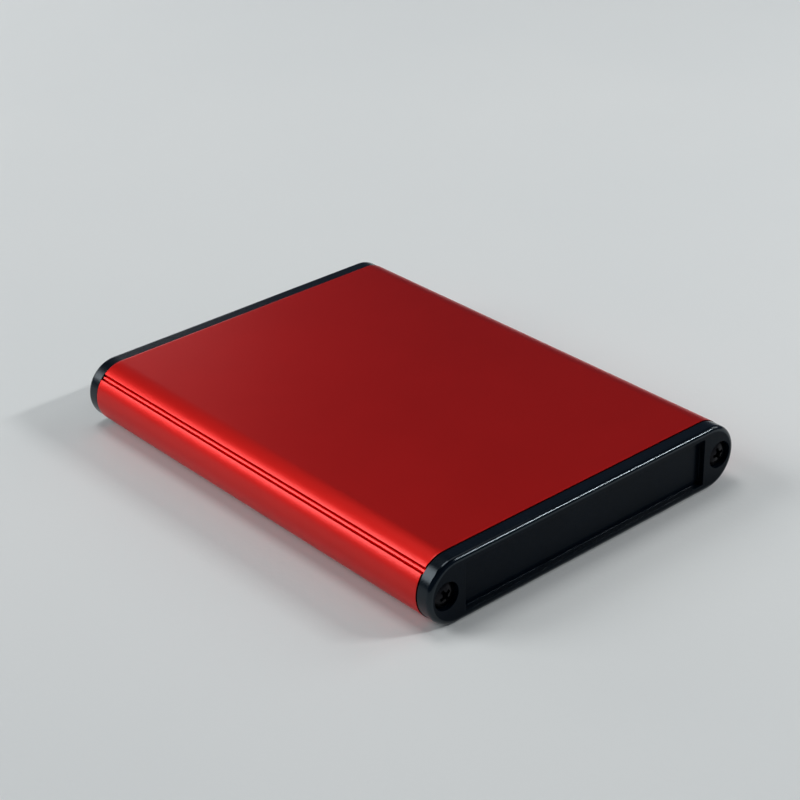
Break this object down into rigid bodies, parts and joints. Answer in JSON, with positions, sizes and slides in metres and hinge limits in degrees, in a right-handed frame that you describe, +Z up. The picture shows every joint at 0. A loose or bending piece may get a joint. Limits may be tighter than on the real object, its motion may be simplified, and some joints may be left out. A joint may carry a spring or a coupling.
{
  "type": "extruded aluminium enclosure",
  "caption": "Flat extruded aluminium enclosure with rounded sides and pinstripe grooves, closed by moulded end caps with recessed faces and counterbored pan-head screws.",
  "frame": {"origin": "under the middle of the case, on the surface that it rests on", "axes": "+Z up, +Y along the extrusion with the front cap at -Y, +X across the width"},
  "size_m": [0.085, 0.1122, 0.0145],
  "materials": {
    "anodised_tube": "red satin anodised",
    "moulded_cap": "black, fine matte texture",
    "black_screw": "black oxide"
  },
  "bodies": {
    "root": {"extruded_tube": "anodised_tube", "front_cap": "moulded_cap", "rear_cap": "moulded_cap", "front_screw_left": "black_screw", "front_screw_right": "black_screw", "rear_screw_left": "black_screw", "rear_screw_right": "black_screw"}
  },
  "joints": []
}
